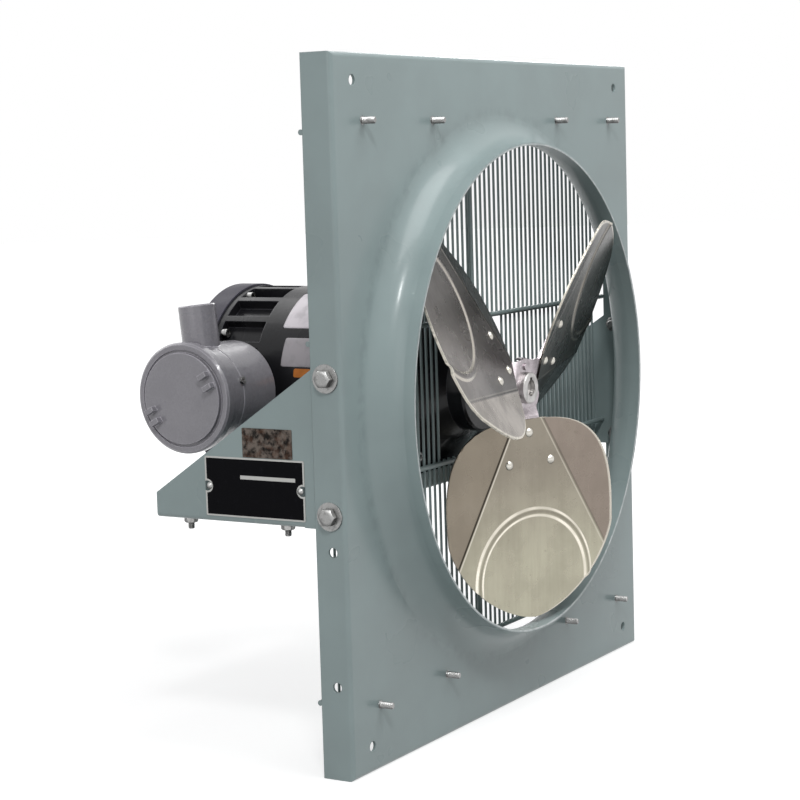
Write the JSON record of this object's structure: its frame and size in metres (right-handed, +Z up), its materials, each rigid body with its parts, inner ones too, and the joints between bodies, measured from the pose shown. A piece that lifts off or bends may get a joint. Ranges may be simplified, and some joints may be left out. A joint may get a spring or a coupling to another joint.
{
  "type": "explosion-proof exhaust fan",
  "caption": "Panel-mounted exhaust fan: a drawn orifice ring, a sheet-bladed propeller on the motor's shaft, and a flameproof motor on a gusseted shelf behind a wire guard.",
  "frame": {"origin": "Where the shaft's axis meets the panel's front face, which is the centre of the four wall-bolt holes.", "axes": "+Y runs along the shaft from the panel's front face back to the motor, +Z up, +X to the right seen from the front."},
  "size_m": [0.6052, 0.3956, 0.635],
  "materials": {
    "panel_paint": "grey-green baked enamel",
    "guard_paint": "grey-green enamel over wire",
    "motor_black": "satin black enamel over cast iron",
    "bell_grey": "dark grey enamel over cast iron",
    "box_grey": "semi-gloss grey enamel over cast metal",
    "blade_metal": "polished sheet, softly reflective",
    "hub_metal": "turned",
    "zinc": "bright zinc plate",
    "core_steel": "laminated",
    "winding": "varnished copper wire",
    "plate_black": "black enamel, bare of text",
    "tag_foil": "etched foil, bare of text",
    "potting": "poured epoxy, slightly dull"
  },
  "bodies": {
    "fan_frame": {"venturi_panel": "panel_paint", "shutter_studs": "zinc", "gusset_left": "panel_paint", "gusset_right": "panel_paint", "motor_shelf": "panel_paint", "rim_bolts": "zinc", "rim_washers": "zinc", "rim_nuts": "zinc", "shelf_bolts": "zinc", "shelf_nuts": "zinc", "motor_frame": "motor_black", "front_end_bell": "motor_black", "rear_end_bell": "bell_grey", "front_bell_screws": "zinc", "rear_bell_screws": "zinc", "stator_core": "core_steel", "stator_windings": "winding", "front_bearing": "hub_metal", "rear_bearing": "hub_metal", "foot_bolts": "zinc", "foot_nuts": "zinc", "lead_seal": "potting", "conduit_box": "box_grey", "ground_screw": "zinc", "guard_rods": "guard_paint", "guard_wires": "guard_paint", "nameplate": "plate_black", "nameplate_rivets": "zinc", "approval_tag": "tag_foil"},
    "propeller": {"motor_shaft": "hub_metal", "shaft_key": "hub_metal", "rotor_core": "core_steel", "prop_hub": "hub_metal", "hub_set_screws": "hub_metal", "prop_spider": "blade_metal", "spider_rivets": "blade_metal", "blade_1": "blade_metal", "blade_2": "blade_metal", "blade_3": "blade_metal", "blade_rivets": "blade_metal"},
    "box_cover": {"conduit_box_cover": "box_grey"}
  },
  "joints": [
    {"name": "shaft_spin", "type": "hinge", "parent": "fan_frame", "child": "propeller", "pos_m": [0, 0, 0], "axis": [0, 1, 0], "continuous": true},
    {"name": "cover_off", "type": "slide", "parent": "fan_frame", "child": "box_cover", "axis": [-1, 0, 0], "range_m": [0, 0.06]}
  ]
}
